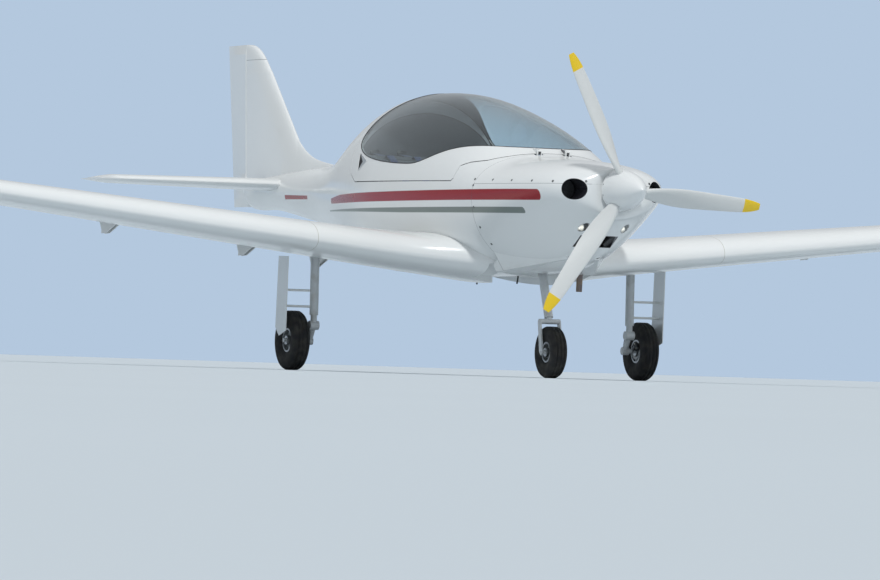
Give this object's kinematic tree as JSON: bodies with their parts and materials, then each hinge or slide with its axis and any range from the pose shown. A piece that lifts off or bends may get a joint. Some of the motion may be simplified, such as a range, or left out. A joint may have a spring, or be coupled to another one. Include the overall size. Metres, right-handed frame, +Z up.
{
  "type": "two-seat low-wing microlight aircraft",
  "caption": "Two-seat low-wing microlight aircraft with a bubble canopy, tractor propeller, conventional tail and lowered retractable tricycle gear, parked on its wheels.",
  "frame": {"origin": "centre of the bounding box's bottom face, on the floor under the aircraft", "axes": "+X to the aircraft's left along the wing, +Y aft from the spinner to the rudder, +Z up"},
  "size_m": [9, 6.4, 2.0651],
  "materials": {
    "white_gelcoat": "polished white composite",
    "canopy_glazing": "clear blown acrylic",
    "dark_lining": "textured dark grey",
    "seat_cloth": "woven grey",
    "engine_grey": "cast",
    "exhaust_steel": "heat stained",
    "gear_steel": "light grey enamel",
    "wheel_alloy": "cast and machined",
    "tyre_rubber": "matt",
    "blade_paint": "pale grey",
    "lamp_glass": "clear",
    "dark_metal": "satin black"
  },
  "bodies": {
    "airframe": {"fuselage_shell": "white_gelcoat", "cowling_upper": "white_gelcoat", "cowling_lower": "white_gelcoat", "firewall": "dark_metal", "engine_block": "engine_grey", "exhaust_pipe": "exhaust_steel", "landing_lights": "lamp_glass", "wing_centre_section": "white_gelcoat", "wing_left": "white_gelcoat", "wing_right": "white_gelcoat", "pitot_tube": "gear_steel", "tailplane": "white_gelcoat", "fin": "white_gelcoat", "cabin_floor": "dark_lining", "instrument_panel": "dark_lining", "baggage_bulkhead": "dark_lining", "seat_left": "seat_cloth", "seat_right": "seat_cloth", "control_sticks": "dark_metal", "rudder_pedals": "dark_metal", "belly_probes": "dark_metal", "nose_leg": "gear_steel", "main_leg_left": "gear_steel", "main_leg_right": "gear_steel", "leg_door_left": "white_gelcoat", "leg_door_right": "white_gelcoat"},
    "canopy": {"canopy_frame": "white_gelcoat", "canopy_glass": "canopy_glazing"},
    "propeller": {"spinner": "white_gelcoat", "propeller_blades": "blade_paint"},
    "flap_left": {"flap_left": "white_gelcoat"},
    "flap_right": {"flap_right": "white_gelcoat"},
    "aileron_left": {"aileron_left": "white_gelcoat"},
    "aileron_right": {"aileron_right": "white_gelcoat"},
    "elevator": {"elevator_left": "white_gelcoat", "elevator_right": "white_gelcoat", "elevator_tube": "gear_steel"},
    "rudder": {"rudder": "white_gelcoat"},
    "nose_fork": {"nose_fork": "gear_steel"},
    "nose_wheel": {"nose_tyre": "tyre_rubber", "nose_rim": "wheel_alloy"},
    "main_wheel_left": {"main_tyre_left": "tyre_rubber", "main_rim_left": "wheel_alloy"},
    "main_wheel_right": {"main_tyre_right": "tyre_rubber", "main_rim_right": "wheel_alloy"}
  },
  "joints": [
    {"name": "propeller_spin", "type": "hinge", "parent": "airframe", "child": "propeller", "pos_m": [0, -2.972, 1.08], "axis": [0, 1, 0], "continuous": true},
    {"name": "canopy_hinge", "type": "hinge", "parent": "airframe", "child": "canopy", "pos_m": [0, -1.946, 1.312], "axis": [1, 0, 0], "range_deg": [0, 50]},
    {"name": "flap_left_hinge", "type": "hinge", "parent": "airframe", "child": "flap_left", "pos_m": [0.9, -0.5308, 0.62429], "axis": [-0.9912, 0.0727, -0.1104], "range_deg": [0, 38]},
    {"name": "flap_right_hinge", "type": "hinge", "parent": "airframe", "child": "flap_right", "pos_m": [-0.9, -0.5308, 0.62429], "axis": [-0.9912, -0.0727, 0.1104], "range_deg": [0, 38]},
    {"name": "aileron_left_hinge", "type": "hinge", "parent": "airframe", "child": "aileron_left", "pos_m": [2.728, -0.68485, 0.91858], "axis": [-0.992, 0.0727, -0.103], "range_deg": [-20, 20]},
    {"name": "aileron_right_hinge", "type": "hinge", "parent": "airframe", "child": "aileron_right", "pos_m": [-2.728, -0.68485, 0.91858], "axis": [-0.992, -0.0727, 0.103], "range_deg": [-20, 20]},
    {"name": "elevator_hinge", "type": "hinge", "parent": "airframe", "child": "elevator", "pos_m": [0, 2.42, 1.16], "axis": [-1, 0, 0], "range_deg": [-28, 26]},
    {"name": "rudder_hinge", "type": "hinge", "parent": "airframe", "child": "rudder", "pos_m": [0, 2.72187, 1.08], "axis": [0, 0.1361, 0.9907], "range_deg": [-25, 25]},
    {"name": "nose_steering", "type": "hinge", "parent": "airframe", "child": "nose_fork", "pos_m": [0, -2.04, 0.15], "axis": [0, 0.39, 0.9208], "range_deg": [-17.5, 17.5]},
    {"name": "nose_wheel_spin", "type": "hinge", "parent": "nose_fork", "child": "nose_wheel", "pos_m": [0, -2, 0.15], "axis": [1, 0, 0], "continuous": true},
    {"name": "main_wheel_left_spin", "type": "hinge", "parent": "airframe", "child": "main_wheel_left", "pos_m": [1.13, -0.8, 0.175], "axis": [1, 0, 0], "continuous": true},
    {"name": "main_wheel_right_spin", "type": "hinge", "parent": "airframe", "child": "main_wheel_right", "pos_m": [-1.13, -0.8, 0.175], "axis": [1, 0, 0], "continuous": true}
  ],
  "couplings": [
    {"joint": "flap_right_hinge", "follows": "flap_left_hinge", "ratio": 1},
    {"joint": "aileron_right_hinge", "follows": "aileron_left_hinge", "ratio": -1},
    {"joint": "nose_steering", "follows": "rudder_hinge", "ratio": -0.7}
  ]
}
